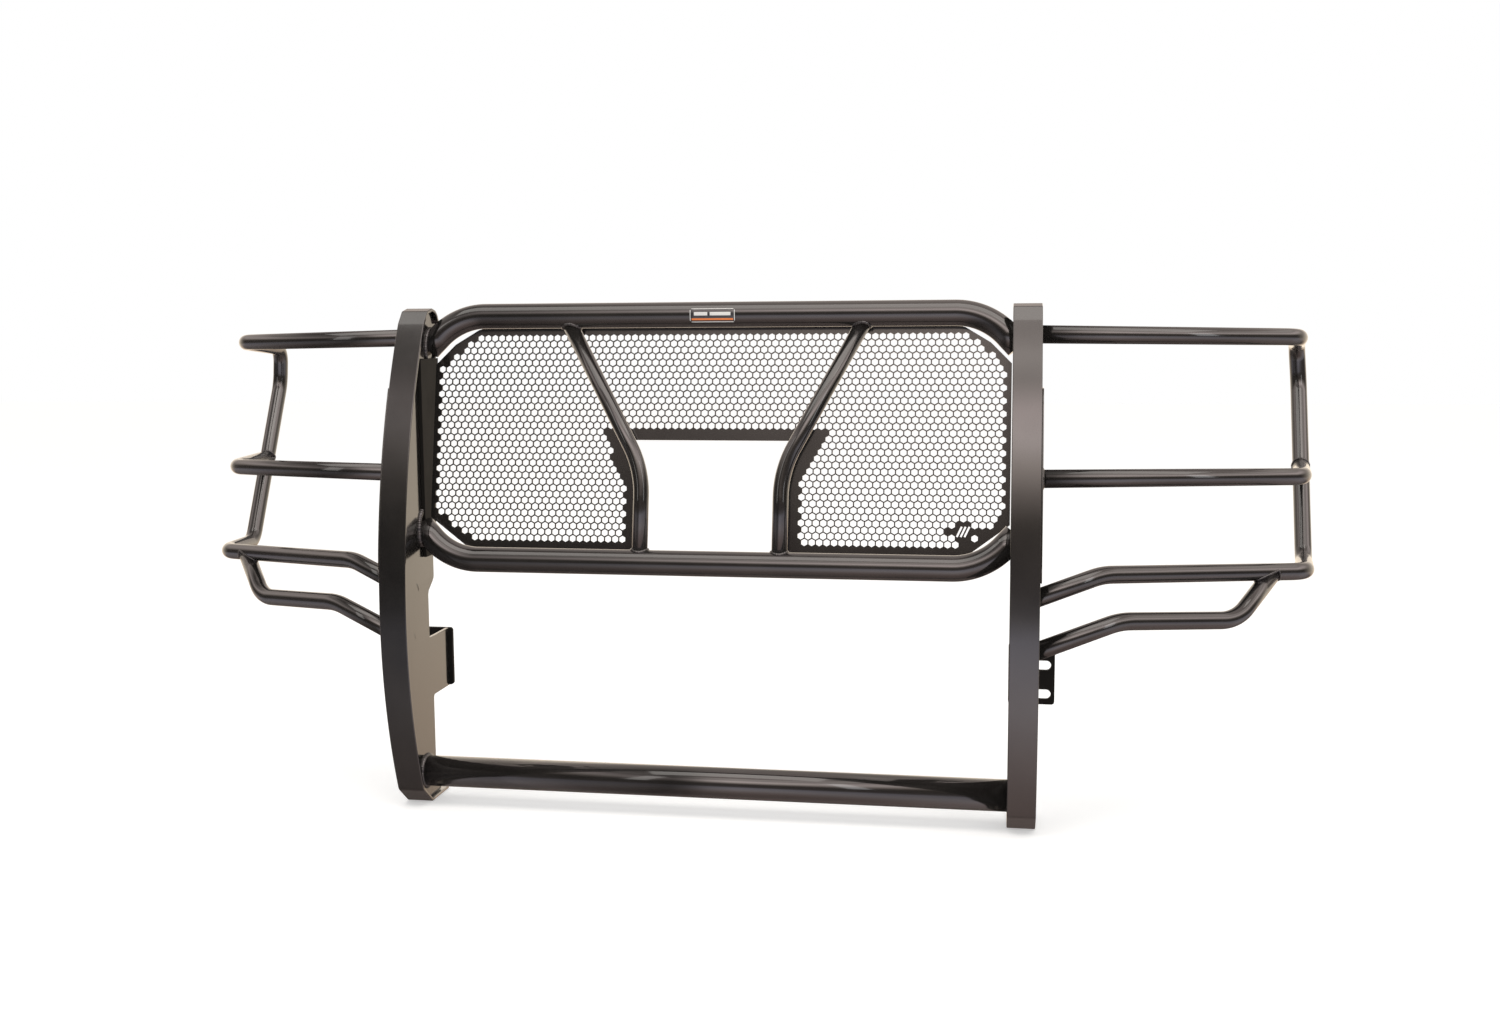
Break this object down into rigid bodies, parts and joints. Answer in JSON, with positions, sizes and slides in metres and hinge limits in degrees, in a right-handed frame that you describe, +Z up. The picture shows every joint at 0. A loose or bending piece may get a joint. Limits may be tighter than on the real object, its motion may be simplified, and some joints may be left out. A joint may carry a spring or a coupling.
{
  "type": "front grille guard",
  "caption": "Full-width front grille guard: curved uprights, a tube ring with a punched sheet, headlight wings, a low cross tube and slotted frame flanges.",
  "frame": {"origin": "middle of the four frame-bolt slots, on the rear faces of the two frame flanges", "axes": "+X across the vehicle to the viewer's right from the front, +Y to the rear, towards the vehicle's frame, +Z up; the front faces -Y"},
  "size_m": [2.0196, 0.6502, 0.8337],
  "materials": {
    "powder_coat": "gloss black powder coat on steel",
    "maker_plate": "gloss",
    "maker_plate_stripe": "gloss"
  },
  "bodies": {
    "root": {"left_wing_outer_tube": "powder_coat", "right_wing_outer_tube": "powder_coat", "left_wing_middle_tube": "powder_coat", "right_wing_middle_tube": "powder_coat", "left_wing_lower_brace": "powder_coat", "right_wing_lower_brace": "powder_coat", "left_upright_face_strip": "powder_coat", "right_upright_face_strip": "powder_coat", "left_upright_side_plate": "powder_coat", "right_upright_side_plate": "powder_coat", "left_upright_outer_cheek": "powder_coat", "right_upright_outer_cheek": "powder_coat", "left_side_plate_stiffener": "powder_coat", "right_side_plate_stiffener": "powder_coat", "left_frame_flange": "powder_coat", "right_frame_flange": "powder_coat", "left_grille_strut": "powder_coat", "right_grille_strut": "powder_coat", "upper_ring_tube": "powder_coat", "lower_ring_tube": "powder_coat", "low_cross_tube": "powder_coat", "punched_grille_sheet": "powder_coat", "maker_plate": "maker_plate", "maker_plate_stripe": "maker_plate_stripe"}
  },
  "joints": []
}
